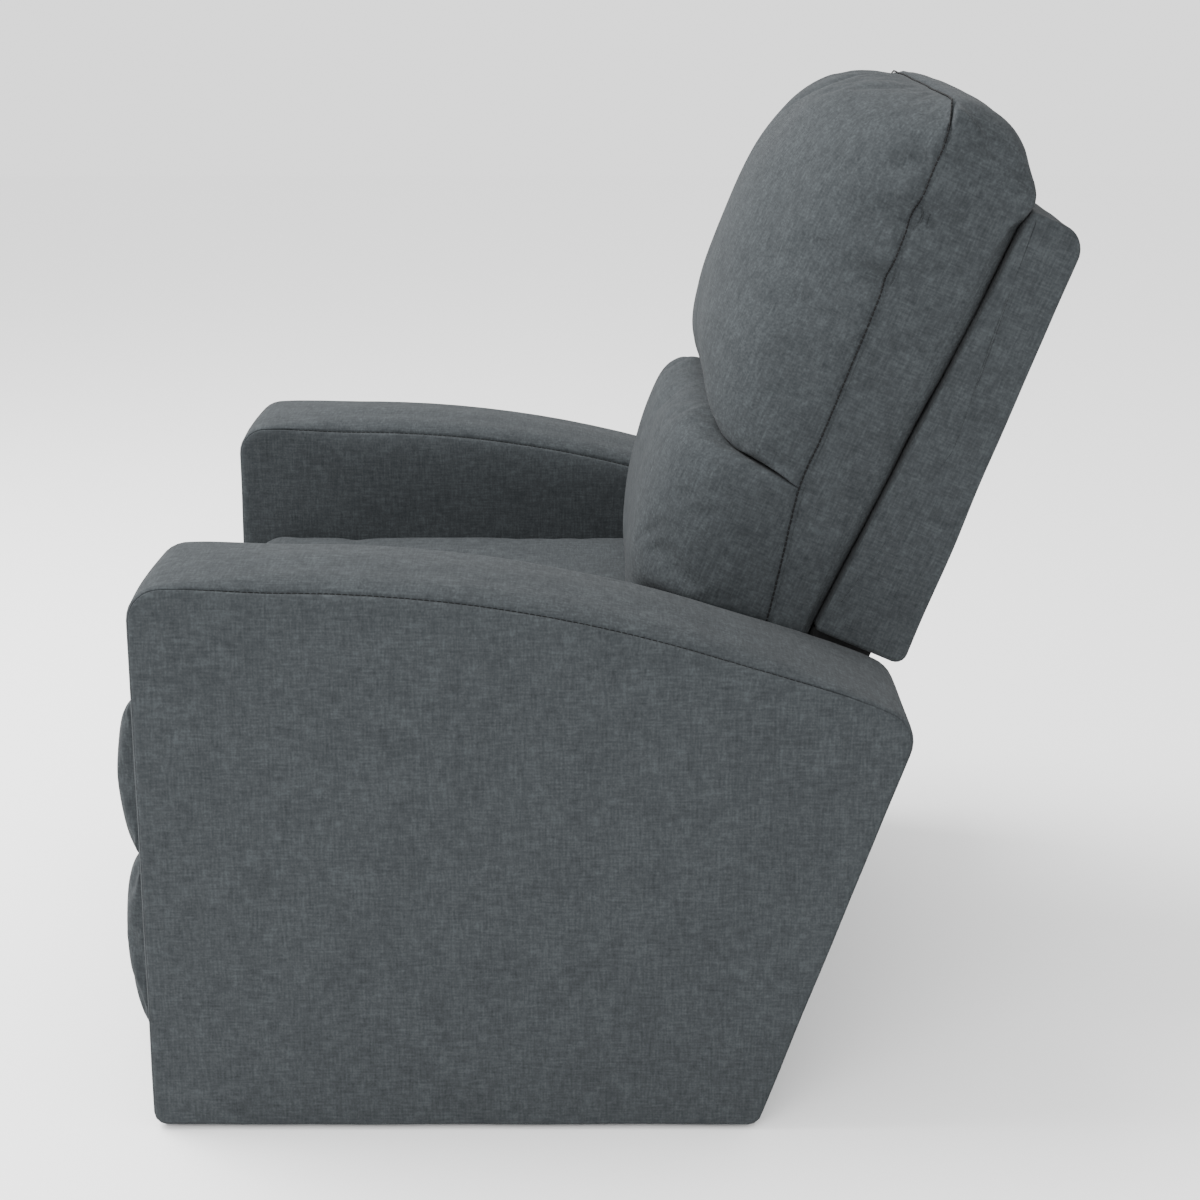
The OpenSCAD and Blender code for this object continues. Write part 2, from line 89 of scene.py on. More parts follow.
def curve_through(points, count):
    """A smooth curve through a few points, cut into equal steps."""
    points = np.array(points, float)
    ends = np.vstack([2 * points[0] - points[1], points, 2 * points[-1] - points[-2]])
    t = np.linspace(0, 1, 24, endpoint=False)[:, None]
    fine = []
    for a, b, c, d in zip(ends, ends[1:], ends[2:], ends[3:]):
        fine.append(0.5 * (2 * b + (c - a) * t + (2 * a - 5 * b + 4 * c - d) * t**2
                           + (3 * b - a - 3 * c + d) * t**3))
    return even_steps(np.vstack(fine + [points[-1:]]), count)


def rounded_outline(corners, count):
    """A closed outline in a plane. Each corner is a point and the radius of its round."""
    path = []
    total = len(corners)
    for i, (point, radius) in enumerate(corners):
        p = np.array(point, float)
        if radius == 0:
            path.append(p)
            continue
        back = np.array(corners[i - 1][0], float) - p
        on = np.array(corners[(i + 1) % total][0], float) - p
        back, on = back / np.linalg.norm(back), on / np.linalg.norm(on)
        half = math.acos(float(np.clip(back @ on, -1, 1))) / 2
        reach = radius / math.tan(half)
        middle = (back + on) / np.linalg.norm(back + on) * radius / math.sin(half) + p
        start, end = p + back * reach - middle, p + on * reach - middle
        swing = math.pi - 2 * half
        side = 1 if start[0] * end[1] - start[1] * end[0] > 0 else -1
        for k in range(13):
            a = side * swing * k / 12
            path.append(middle + [start[0] * math.cos(a) - start[1] * math.sin(a),
                                  start[0] * math.sin(a) + start[1] * math.cos(a)])
    return even_steps(np.array(path), count, closed=True)


def outward(outline):
    """The outline's unit normals, pointing away from its inside."""
    step = np.roll(outline, -1, 0) - np.roll(outline, 1, 0)
    normal = np.stack([step[:, 1], -step[:, 0]], 1)
    normal /= np.linalg.norm(normal, axis=1)[:, None]
    after = np.roll(outline, -1, 0)
    area = np.sum(outline[:, 0] * after[:, 1] - outline[:, 1] * after[:, 0])
    return normal * np.sign(area)


def make_mesh(name, points, faces, edges=()):
    mesh = bpy.data.meshes.new(name)
    mesh.from_pydata([tuple(p) for p in points], list(edges), faces)
    mesh.validate()
    mesh.update()
    obj = bpy.data.objects.new(name, mesh)
    scene.collection.objects.link(obj)
    mesh.shade_smooth()
    return obj


def points_of(obj):
    co = np.zeros(len(obj.data.vertices) * 3, np.float32)
    obj.data.vertices.foreach_get("co", co)
    return co.reshape(-1, 3).astype(float)


def set_points(obj, co):
    obj.data.vertices.foreach_set("co", np.asarray(co, np.float32).ravel())
    obj.data.update()


def normals_of(obj):
    n = np.zeros(len(obj.data.vertices) * 3, np.float32)
    obj.data.vertex_normals.foreach_get("vector", n)
    return n.reshape(-1, 3).astype(float)


def face_out(obj):
    """Turns the whole mesh the right way if its faces point inwards."""
    obj.data.calc_loop_triangles()
    co = points_of(obj)
    tri = np.array([t.vertices[:] for t in obj.data.loop_triangles])
    volume = np.einsum("ij,ij->i", co[tri[:, 0]], np.cross(co[tri[:, 1]], co[tri[:, 2]])).sum()
    if volume < 0:
        obj.data.flip_normals()
    return obj


def plain_mesh(obj):
    """Turns an object with modifiers into one plain mesh."""
    dg = bpy.context.evaluated_depsgraph_get()
    mesh = bpy.data.meshes.new_from_object(obj.evaluated_get(dg))
    obj.modifiers.clear()
    obj.data = mesh
    mesh.shade_smooth()
    return obj


def remeshed(obj, size):
    """Even square faces all over, so that folds can be pressed into the piece."""
    modifier = obj.modifiers.new("even", "REMESH")
    modifier.mode, modifier.voxel_size = "VOXEL", size
    return plain_mesh(obj)


def subdivided(obj):
    modifier = obj.modifiers.new("finer", "SUBSURF")
    modifier.levels = modifier.render_levels = 1
    return plain_mesh(obj)


def lean(points):
    """From the back's own upright frame (across, out to the rear, up the lean) to the chair's."""
    turn = Matrix.Rotation(-BACK_LEAN, 3, "X")
    return np.asarray(points, float) @ np.array(turn).T + np.array(PIVOT)


def upright(points):
    """From the chair's frame back to the back's own upright frame."""
    turn = Matrix.Rotation(-BACK_LEAN, 3, "X")
    return (np.asarray(points, float) - np.array(PIVOT)) @ np.array(turn)


def unevenness(co, size, height):
    """The slow unevenness of stuffed cloth, the same on every run."""
    return np.array([noise.noise(Vector(p) / size) for p in co]) * height


# ---------------------------------------------------------------- closed forms
# The rounding of a shoulder in degrees from the flat side. The rows are closest beside the seam.
TURNS = (0, 10, 20, 30, 35, 38.5, 40, 41.5, 43, 44.5, 48, 54, 62, 71, 80, 90)
SEAM_TURN = TURNS.index(41.5)
HALF_TURN = 0.7                     # a pull along the shoulder's slant, shared by its two directions
SEAM_PULL = {-2: 0.12, -1: 0.6, 0: 1.0, 1: 0.6, 2: 0.12}


def shell(name, outline, half, wide, deep, crown=0.0, power=2.5, puff=0.0, centre_x=0.0,
          rings=18, band=26, seam=None, place=None):
    """A closed form with one outline across its whole width, such as an arm or a slab.

    outline is [y, z] points. wide and deep say how far the side's rounding reaches across and
    into the outline, and crown how far the outline swells in the middle of the width. seam is
    how far each outline point is pulled in along the seam on both shoulders. Returns the object
    and the point numbers along the two seams.
    """
    n = len(outline)
    seam = 0 if seam is None else seam
    normal = outward(outline)
    middle = outline.mean(0)
    wide, deep, crown = (np.broadcast_to(v, n)[:, None] for v in (wide, deep, crown))
    rows = []

    def row(x, flat):
        rows.append(np.column_stack([np.broadcast_to(x, (n, 1)), flat]))

    inner = outline - normal * deep
    for r in np.linspace(0, 1, rings + 1)[1:-1]:
        r = 1 - (1 - r) ** 1.7
        row(half + puff * (1 - r * r) ** 2, middle + (inner - middle) * r)
    first = len(rows)
    for i, turn in enumerate(np.radians(TURNS)):
        pull = SEAM_PULL.get(i - SEAM_TURN, 0) * seam
        pull = np.broadcast_to(pull, n)[:, None] * HALF_TURN
        across = wide * (1 - math.cos(turn) ** (2 / power)) + pull
        down = deep * (1 - math.sin(turn) ** (2 / power)) + pull
        row(half - across, outline - normal * down)
    for f in np.cos(np.linspace(0, math.pi, band + 1))[1:-1]:
        row((half - wide) * f, outline + normal * crown * (1 - f * f))
    rows += [np.column_stack([-r[:, 0], r[:, 1:]]) for r in rows[:first + len(TURNS)][::-1]]
    points = [[half + puff, *middle]] + [p for r in rows for p in r] + [[-half - puff, *middle]]
    faces = []
    for i in range(len(rows) - 1):
        for k in range(n):
            m = (k + 1) % n
            faces.append((1 + i * n + k, 1 + i * n + m, 1 + (i + 1) * n + m, 1 + (i + 1) * n + k))
    last = len(points) - 1
    for k in range(n):
        m = (k + 1) % n
        faces.append((0, 1 + m, 1 + k))
        faces.append((last, 1 + (len(rows) - 1) * n + k, 1 + (len(rows) - 1) * n + m))
    points = np.array(points) + [centre_x, 0, 0]
    points = place(points) if place else points
    seams = [1 + i * n + np.arange(n) for i in (first + SEAM_TURN, len(rows) - 1 - first - SEAM_TURN)]
    return face_out(make_mesh(name, points, faces)), seams


def pad(name, front, back, rim=2, place=None):
    """A closed cushion from a front and a back sheet of points that share their grid."""
    rows, cols = front.shape[:2]
    ring = ([(0, j) for j in range(cols)] + [(i, cols - 1) for i in range(1, rows)]
            + [(rows - 1, j) for j in range(cols - 2, -1, -1)]
            + [(i, 0) for i in range(rows - 2, 0, -1)])
    points = list(front.reshape(-1, 3)) + list(back.reshape(-1, 3))
    size = rows * cols
    faces = []
    for i in range(rows - 1):
        for j in range(cols - 1):
            a, b, c, d = i * cols + j, i * cols + j + 1, (i + 1) * cols + j + 1, (i + 1) * cols + j
            faces.append((a, b, c, d))
            faces.append((size + d, size + c, size + b, size + a))
    loops = [[i * cols + j for i, j in ring]]
    for k in range(1, rim):
        start = len(points)
        points += [front[i, j] + (back[i, j] - front[i, j]) * k / rim for i, j in ring]
        loops.append(list(range(start, start + len(ring))))
    loops.append([size + i * cols + j for i, j in ring])
    for a, b in zip(loops, loops[1:]):
        for k in range(len(ring)):
            m = (k + 1) % len(ring)
            faces.append((a[m], a[k], b[k], b[m]))
    points = np.array(points)
    return face_out(make_mesh(name, place(points) if place else points, faces))


# ---------------------------------------------------------------- cloth
CLOTH_FRAMES = 20
CLOTH_STIFFNESS = 12.0
to_inflate = []


def sew(obj, pinned, pressure, slack, cap):
    """Queues a closed cover for the cloth run. pinned is each point's hold, 0 to 1.

    slack is how much wider than its cut the cover is, and cap the furthest that a point may move.
    """
    group = obj.vertex_groups.new(name="sewn")
    hold = np.round(pinned, 1)
    for value in sorted(set(hold)):
        if value > 0:
            group.add([int(i) for i in np.flatnonzero(hold == value)], float(value), "REPLACE")
    cloth = obj.modifiers.new("cover", "CLOTH")
    s = cloth.settings
    s.quality = 6
    s.mass = 0.25
    s.tension_stiffness = s.compression_stiffness = CLOTH_STIFFNESS
    s.shear_stiffness = CLOTH_STIFFNESS / 2
    s.bending_stiffness = 0.6
    s.air_damping = 2
    s.use_pressure = True
    s.uniform_pressure_force = pressure
    s.shrink_min = s.shrink_max = -slack
    s.vertex_group_mass = "sewn"
    s.effector_weights.gravity = 0
    cloth.collision_settings.use_self_collision = False
    cloth.collision_settings.use_collision = False
    cloth.point_cache.frame_start, cloth.point_cache.frame_end = 1, CLOTH_FRAMES
    to_inflate.append((obj, cap))


def run_cloth():
    """Steps every queued cover together, then keeps each result within its cap."""
    for frame_number in range(1, CLOTH_FRAMES + 1):
        scene.frame_set(frame_number)
    dg = bpy.context.evaluated_depsgraph_get()
    for obj, cap in to_inflate:
        rest = points_of(obj)
        done = obj.evaluated_get(dg)
        co = np.zeros(len(rest) * 3, np.float32)
        done.data.vertices.foreach_get("co", co)
        move = co.reshape(-1, 3) - rest
        far = np.linalg.norm(move, axis=1)[:, None]
        set_points(obj, rest + move * cap * np.tanh(far / cap) / np.maximum(far, 1e-9))
    for obj, _ in to_inflate:
        obj.modifiers.remove(obj.modifiers["cover"])
        obj.vertex_groups.clear()
    scene.frame_set(1)


# ---------------------------------------------------------------- arms
arm_low, arm_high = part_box("left_arm_cover")
ARM_SLOPE = math.radians(19.5)      # the rear edge's slope from upright
ARM_ARCH_R = 1.4                    # the long arch along the arm's top
ARM_ARCH_Y = -0.290                 # where that arch is highest
ARM_REAR_FOOT = 0.176               # where the rear edge would meet the floor
ARM_SWELL = 0.002                   # how far the crown stands above the shoulders' line
ARM_FOOT_R, ARM_REAR_R, ARM_FRONT_R = 0.014, 0.036, 0.036
ARM_EDGE, ARM_SHOULDER = 0.013, 0.047
ARM_POINTS = 340
seam_paths = {"base": [], "back": []}    # the stitched paths, for each body they ride on


def arch(y):
    """The height of the arm's crown at y."""
    return arm_high.z - ARM_SWELL - ARM_ARCH_R + np.sqrt(ARM_ARCH_R**2 - (y - ARM_ARCH_Y) ** 2)


def rear_edge(z):
    """Where the arm's sloping rear edge is at a height."""
    return ARM_REAR_FOOT + z * math.tan(ARM_SLOPE)


def arm_outline():
    """The arm's side outline along its crown."""
    foot, front = arm_low.z, arm_low.y
    last = rear_edge(arch(rear_edge(0.43)))
    corners = [((front, foot), ARM_FOOT_R), ((rear_edge(foot), foot), ARM_FOOT_R),
               ((last, arch(last)), ARM_REAR_R)]
    corners += [((y, arch(y)), 0) for y in np.linspace(last - 0.04, front + 0.055, 20)]
    corners.append(((front, arch(front)), ARM_FRONT_R))
    return rounded_outline(corners, ARM_POINTS)


def upholster_arm(name, node, sign):
    """One arm: flat sides, soft shoulders along the top and a seam on each shoulder."""
    outline = arm_outline()
    y = outline[:, 0]
    top = smooth(0.2, 0.8, outward(outline)[:, 1])
    along = smooth(arm_low.y + 0.010, arm_low.y + 0.15, y) * (1 - smooth(0.13, 0.30, y))
    reach = ARM_EDGE + ARM_SHOULDER * top * along
    seam = SEAM_DIP * (0.35 + 0.65 * top)
    half = (arm_high.x - arm_low.x) / 2
    centre = sign * (arm_high.x + arm_low.x) / 2
    obj, seams = shell(name, outline, half, reach, reach, crown=ARM_SWELL * top, power=3.4,
                       centre_x=centre, rings=24, band=24, seam=seam)
    co = points_of(obj)
    co += normals_of(obj) * unevenness(co, 0.11, 0.0011)[:, None]
    set_points(obj, co)
    sewn = np.flatnonzero((top > 0.3) & (y > arm_low.y + 0.02))
    sunk = normals_of(obj) * -0.0004
    for along_seam in seams:
        seam_paths["base"].append((co + sunk)[along_seam[sewn]])
    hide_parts(node)
    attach(obj, "base")
    return obj


left_arm = upholster_arm("left_arm_upholstery", "left_arm_cover", 1)
right_arm = upholster_arm("right_arm_upholstery", "right_arm_cover", -1)

# ---------------------------------------------------------------- back
BACK_HALF = 0.275                   # half the width of the back
# The side seam of the front panels, from the seat up to the top, as [out, up] in the back's frame
SIDE_SEAM = [[-0.055, 0.085], [-0.063, 0.154], [-0.084, 0.262], [-0.089, 0.300], [-0.089, 0.345],
             [-0.093, 0.450], [-0.097, 0.535], [-0.098, 0.585], [-0.100, 0.655], [-0.106, 0.697]]
CREASE_UP = 0.284                   # where the side seam meets the crease between the pillows
BACK_TOP = 0.698                    # how high up the lean the seam runs across the top
CORNER_R = 0.052                    # the round of the back's top corners, seen from the front
CORNER_SAG = 0.012                  # how far the crease hangs towards each side
# The middle of each front panel, from its lower edge to its upper one
UPPER_FRONT = [[-0.165, 0.304], [-0.188, 0.302], [-0.205, 0.328], [-0.223, 0.385], [-0.233, 0.460],
               [-0.235, 0.520], [-0.229, 0.576], [-0.213, 0.630], [-0.193, 0.659], [-0.165, 0.679],
               [-0.134, 0.691], [-0.106, 0.696]]
LUMBAR_FRONT = [[-0.100, 0.056], [-0.140, 0.044], [-0.170, 0.055], [-0.191, 0.095],
                [-0.207, 0.145], [-0.218, 0.205], [-0.221, 0.262], [-0.213, 0.296],
                [-0.192, 0.308], [-0.165, 0.302]]
UP_ROWS, LUMBAR_ROWS, BACK_COLS = 80, 54, 107


def seam_between(low, high, count):
    """The stretch of the side seam between two heights up the lean."""
    path = curve_through(SIDE_SEAM, 600)
    return even_steps(path[(path[:, 1] >= low) & (path[:, 1] <= high)], count)


def half_width(up):
    """Half the back's width at a height: straight sides, then a round into the top."""
    t = np.clip((np.asarray(up) - BACK_TOP + CORNER_R) / CORNER_R, 0, 0.995)
    return BACK_HALF - CORNER_R * (1 - np.sqrt(1 - t * t))


def stuffed_panel(name, side, middle, fullness, squareness, sag):
    """A stuffed front panel, sewn down at both side seams and full in the middle.

    fullness, squareness and sag run from the lower edge to the upper one. The higher the first
    two are, the boxier the panel is in plan. sag is how far its corners hang below the row.
    """
    rows = len(side)
    across = np.sin(np.linspace(-math.pi / 2, math.pi / 2, BACK_COLS))
    front = np.zeros((rows, BACK_COLS, 3))
    for i in range(rows):
        k = (1 - np.abs(across) ** fullness[i]) ** (1 / squareness[i])
        front[i] = np.column_stack([across * half_width(side[i, 1]),
                                    side[i] + (middle[i] - side[i]) * k[:, None]])
        front[i, :, 2] -= sag[i] * hill(np.abs(front[i, :, 0]), 0.225, 0.045)
    back = front.copy()
    back[:, :, 1:] = side[:, None, :] + [0.022, 0]
    back[:, :, 0] *= 0.98
    obj = pad(name, front, back, rim=2, place=lean)
    hold = np.ones(len(obj.data.vertices))
    i, j = np.mgrid[0:rows, 0:BACK_COLS]
    rim = np.minimum.reduce([i, rows - 1 - i, j, BACK_COLS - 1 - j])
    hold[:rows * BACK_COLS] = (1 - np.clip(rim / 3.0, 0, 1)).ravel()
    return obj, hold


upper_side = seam_between(CREASE_UP, 0.695, UP_ROWS)
upper_middle = curve_through(UPPER_FRONT, UP_ROWS)
height = np.linspace(0, 1, UP_ROWS)
low_half = 1 - smooth(0, 0.5, height)
upper, hold = stuffed_panel("upper_pillow_cover", upper_side, upper_middle,
                            2.5 + 2.2 * low_half, 1.7 + 0.5 * low_half,
                            CORNER_SAG * (1 - smooth(0, 0.3, height)))
sew(upper, hold, pressure=3.5, slack=0.025, cap=0.010)
lumbar_side = seam_between(0.088, CREASE_UP, LUMBAR_ROWS)
lumbar_middle = curve_through(LUMBAR_FRONT, LUMBAR_ROWS)
height = np.linspace(0, 1, LUMBAR_ROWS)
lumbar, hold = stuffed_panel("lumbar_pillow_cover", lumbar_side, lumbar_middle,
                             8.0 - 2.6 * height, 3.4 - 1.0 * height, CORNER_SAG * smooth(0.6, 1, height))
sew(lumbar, hold, pressure=3.0, slack=0.02, cap=0.007)

BORDER_FOOT = 0.122                 # how low down the lean the border goes
BORDER_ROLL = 0.049                 # how far its top rolls over at both ends
BORDER_EDGE = 0.003
# The rounded top of the border, from the slab's top forward to the top seam
BORDER_TOP = [[0.010, 0.632], [0.005, 0.648], [-0.010, 0.666], [-0.025, 0.685], [-0.046, 0.698],
              [-0.076, 0.703], [-0.100, 0.700]]


def border_outline():
    """The padded border behind the front panels, over the top of the outside back."""
    slab_front = [[-0.013, BORDER_FOOT], [0.0085, 0.629]]
    front = seam_between(BORDER_FOOT, 0.690, 60)[::-1] + [0.001, 0]
    return even_steps(np.vstack([slab_front, curve_through(BORDER_TOP, 50), front]), 320, closed=True)


def upholster_border():
    """Padded sides that tuck in against the slab, and a top that rolls over at both ends."""
    outline = border_outline()
    out, up = outline[:, 0], outline[:, 1]
    normal = outward(outline)
    slab_side = smooth(0.5, 0.95, normal[:, 0]) * (1 - smooth(0.60, 0.64, up))
    to_rear = 1 - 0.75 * smooth(-0.06, 0.014, out)
    top = smooth(0.05, 0.7, normal[:, 1]) * smooth(0.60, 0.65, up) * to_rear
    seam_side = smooth(0.3, 0.9, -normal[:, 0])
    wide = BORDER_EDGE + 0.004 * seam_side + 0.022 * slab_side + BORDER_ROLL * top
    deep = BORDER_EDGE + 0.004 * seam_side + 0.037 * slab_side + BORDER_ROLL * top
    obj, _ = shell("back_border", outline, BACK_HALF + 0.0005, wide, deep, crown=0.004 * top,
                   power=2.2, rings=30, band=40, place=lean)
    return remeshed(obj, 0.0045)


border = upholster_border()

SLAB_FOOT, SLAB_TOP, SLAB_EDGE = 0.152, 0.628, 0.006


def upholster_slab():
    """The outside back: a flat padded slab with crisp edges."""
    corners = [((-0.011, SLAB_FOOT), 0.004), ((0.089, SLAB_FOOT), 0.012),
               ((0.0705, SLAB_TOP), 0.026), ((0.0095, SLAB_TOP), 0.004)]
    obj, _ = shell("outside_back_upholstery", rounded_outline(corners, 280), BACK_HALF, SLAB_EDGE,
                   SLAB_EDGE, crown=0.003, power=2.3, puff=0.001, rings=22, band=40, place=lean)
    return obj


slab = upholster_slab()


def dust_cover():
    """The black cloth that closes the back's underside, inside the outside back's lower edge."""
    top = SLAB_FOOT - 0.001
    corners = [((-0.010, 0.096), 0.006), ((0.058, 0.108), 0.006), ((0.058, top), 0.004),
               ((-0.010, top), 0.004)]
    obj, _ = shell("back_dust_cover", rounded_outline(corners, 120), BACK_HALF - 0.020, 0.004, 0.004,
                   rings=8, band=24, place=lean)
    return obj


lining = dust_cover()

# ---------------------------------------------------------------- seat
seat_low, seat_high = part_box("seat_cushion")
SEAT_ROWS, SEAT_COLS = 84, 84
SEAT_FRONT_ROLL, SEAT_FRONT_DROP = 0.045, 0.034
SEAT_SIDE_ROLL, SEAT_SIDE_DROP = 0.026, 0.018
SEAT_CROWN = 0.006


def edge_drop(edge, drop):
    """How far a rolled edge falls: nothing where edge is 0, the whole drop where it is 1."""
    return drop * (1 - np.sqrt(1 - np.clip(edge, 0, 0.98) ** 2.4))


def seat_cushion():
    """A boxed cushion: a crowned top that rolls over its front edge."""
    low, high = seat_low + Vector((0.003, 0.003, 0)), seat_high - Vector((0.003, 0.003, 0.004))
    y = np.linspace(0, 1, SEAT_ROWS)[:, None] * np.ones((1, SEAT_COLS))
    x = np.sin(np.linspace(-1, 1, SEAT_COLS) * math.pi / 2)[None, :] * np.ones((SEAT_ROWS, 1))
    deep, half = high.y - low.y, (high.x - low.x) / 2
    drop = edge_drop(1 - y * deep / SEAT_FRONT_ROLL, SEAT_FRONT_DROP)
    drop = drop + edge_drop(1 - (1 - np.abs(x)) * half / SEAT_SIDE_ROLL, SEAT_SIDE_DROP)
    z = high.z - drop + SEAT_CROWN * (1 - x**4) * np.sin(np.pi * y) ** 0.6
    top = np.stack([x * half, low.y + y * deep, z], 2)
    bottom = top.copy()
    bottom[:, :, 2] = low.z
    obj = pad("seat_cushion_cover", top, bottom, rim=12)
    co = points_of(obj)
    return obj, np.where(co[:, 2] < low.z + 0.012, 1.0, 0.0)


seat, hold = seat_cushion()
sew(seat, hold, pressure=3.0, slack=0.015, cap=0.006)

# ---------------------------------------------------------------- footrest
FOOT_ROWS, FOOT_COLS = 34, 90
FOOT_SEAM_DEPTH = 0.030             # how far in front of the board each puff is sewn down
foot_covers = {}


def footrest_puff(name, node):
    """One horizontal puff: full in the middle of its height, sewn down above and below."""
    low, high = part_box(node)
    v = np.linspace(0, 1, FOOT_ROWS)[:, None] * np.ones((1, FOOT_COLS))
    x = np.sin(np.linspace(-1, 1, FOOT_COLS) * math.pi / 2)[None, :] * np.ones((FOOT_ROWS, 1))
    full = np.sin(np.pi * v) ** 0.42 * np.sqrt(1 - np.abs(x) ** 34)
    swell = high.y - low.y - 0.004 - FOOT_SEAM_DEPTH
    front = np.stack([x * (high.x - low.x) / 2 * 0.992, high.y - FOOT_SEAM_DEPTH - swell * full,
                      low.z + 0.001 + v * (high.z - low.z - 0.002)], 2)
    back = front.copy()
    back[:, :, 1] = high.y
    obj = pad(name, front, back, rim=4)
    co = points_of(obj)
    return obj, np.where(co[:, 1] > high.y - 0.024, 1.0, 0.0)


for name, node in (("upper_footrest_cover", "upper_footrest_pad"),
                   ("lower_footrest_cover", "lower_footrest_pad")):
    foot_covers[node], hold = footrest_puff(name, node)
    sew(foot_covers[node], hold, pressure=3.5, slack=0.02, cap=0.009)

run_cloth()


# ---------------------------------------------------------------- puckers and folds
def pucker(co, y, z, length, height, depth, slope):
    """A soft crease across the side seam, centred at y and z on both sides of the back."""
    along, across = co[:, 1] - y, co[:, 2] - z - slope * (co[:, 1] - y)
    side = smooth(BACK_HALF - 0.10, BACK_HALF - 0.03, np.abs(co[:, 0]))
    shape = hill(across, 0, height) - 0.45 * hill(across, 1.9 * height, height)
    return -depth * side * shape * hill(along, 0, length)


ARM_HIDES = 0.026                   # how far below the crown the far side of an arm begins
TUCK = 0.026                        # how far the back's sides turn in below that
SEAM_PULL_IN = 0.0035               # how deep the thread pulls the side seam


def tuck(co):
    """Turns the back's sides in where they go down between the arms. Gives the shift along X."""
    down = smooth(0.014, -0.010, co[:, 2] - arch(co[:, 1]) + ARM_HIDES)
    return -np.sign(co[:, 0]) * TUCK * down * smooth(0.17, 0.27, np.abs(co[:, 0]))


def seam_valley(co):
    """The valley along the side seam, on the pillows and on the border. Gives the shift along X."""
    local = upright(co)
    seam = curve_through(SIDE_SEAM, 200)
    away = local[:, 1] - np.interp(local[:, 2], seam[:, 1], seam[:, 0])
    side = smooth(BACK_HALF - 0.03, BACK_HALF - 0.008, np.abs(co[:, 0]))
    side = side * (1 - smooth(0.62, 0.66, local[:, 2]))
    return -np.sign(co[:, 0]) * SEAM_PULL_IN * side * hill(away, 0, 0.007)


# Each pucker's y, z, length, height, depth and slope
PUCKERS = ((0.322, 0.900, 0.050, 0.012, 0.0095, -0.10),
           (0.296, 0.839, 0.040, 0.011, 0.0070, -0.05),
           (0.318, 0.951, 0.022, 0.008, 0.0045, 0.0))
# Where the border's top rolls over its side, from the seam back to the slab, as [out, up]
FOLD = [[-0.099, 0.653], [-0.080, 0.659], [-0.055, 0.655], [-0.031, 0.647], [-0.012, 0.638],
        [0.004, 0.622]]


def fold(co):
    """The soft ridge that the cloth makes there. Gives the shift along X."""
    local = upright(co)
    path = curve_through(FOLD, 60)
    away = np.linalg.norm(local[:, None, 1:] - path[None], axis=2).min(1)
    side = smooth(BACK_HALF - 0.06, BACK_HALF - 0.03, np.abs(co[:, 0]))
    return np.sign(co[:, 0]) * side * (0.0035 * hill(away, 0, 0.006) - 0.002 * hill(away, 0.014, 0.008))


for obj in (upper, border, lumbar):
    co = points_of(obj)
    move = sum(pucker(co, *p) for p in PUCKERS) + unevenness(co, 0.07, 0.0016)
    co += normals_of(obj) * move[:, None]
    co[:, 0] += tuck(co) + seam_valley(co) + (fold(co) if obj is border else 0)
    set_points(obj, co)
for obj in (seat, slab, *foot_covers.values()):
    co = points_of(obj)
    set_points(obj, co + normals_of(obj) * unevenness(co, 0.08, 0.0013)[:, None])

# The seam that joins the front panels to the border: up one side, over the top and down the other.
# Its thread lies just proud of the cloth.
upper_grid = points_of(upper)[:UP_ROWS * BACK_COLS].reshape(UP_ROWS, BACK_COLS, 3)
lumbar_grid = points_of(lumbar)[:LUMBAR_ROWS * BACK_COLS].reshape(LUMBAR_ROWS, BACK_COLS, 3)
path = np.vstack([lumbar_grid[:, 0], upper_grid[1:, 0], upper_grid[-1, 1:-1],
                  upper_grid[::-1, -1], lumbar_grid[::-1, -1]])
over = smooth(0.640, 0.692, upright(path)[:, 2])[:, None]
path += 0.0002 * over * [0, 0, 1] + 0.0014 * (1 - over) * np.sign(path[:, :1]) * [1, 0, 0]
seam_paths["back"].append(path)

SOFT_PIECES = (
    (upper, "upper_pillow", "back", 0.8),
    (lumbar, "lumbar_pillow", "back", 0.8),
    (border, "inner_back_pad", "back", 0.7),
    (slab, "outer_back", "back", 0.3),
    (seat, "seat_cushion", "seat_carriage", 0.7),
    (foot_covers["upper_footrest_pad"], "upper_footrest_pad", "footrest", 0.7),
    (foot_covers["lower_footrest_pad"], "lower_footrest_pad", "footrest", 0.7),
)
for obj, node, body, fill in SOFT_PIECES:
    if obj not in (border, slab):
        subdivided(obj)
    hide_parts(node)
    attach(obj, body)


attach(lining, "back")


# ---------------------------------------------------------------- lower rear panel
def rear_panel():
    """The flat panel that closes the base between the arms at the back."""
    low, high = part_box("rear_panel_cover")
    run = (high.z - low.z) * math.tan(ARM_SLOPE)
    thick = 0.008
    corners = [((high.y - run - thick, low.z), 0.002), ((high.y - run, low.z), 0.003),
               ((high.y, high.z), 0.003), ((high.y - thick, high.z), 0.002)]
    obj, _ = shell("rear_panel_upholstery", rounded_outline(corners, 240), high.x, 0.003, 0.003, 0.001,
                   2.3, rings=8, band=30)
    return obj


rear = rear_panel()
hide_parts("rear_panel_cover")
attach(rear, "base")


# ---------------------------------------------------------------- cloth wrapped round boards
WRAP_T = 0.0015                     # how far the wrapped cloth stands off its board


def wrap(name, node, body):
    """Cloth drawn tightly round a board and stapled behind it."""
    low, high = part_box(node)
    low, high = low - Vector((WRAP_T,) * 3), high + Vector((WRAP_T,) * 3)
    corners = [((low.y, low.z), 0.002), ((high.y, low.z), 0.002), ((high.y, high.z), 0.002),
               ((low.y, high.z), 0.002)]
    obj, _ = shell(name, rounded_outline(corners, 120), high.x, 0.002, 0.002, rings=6, band=24)
    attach(obj, body)
    return obj


wraps = [wrap("footrest_board_wrap", "footrest_board", "footrest"),
         wrap("seat_rail_wrap", "seat_front_rail", "seat_carriage")]


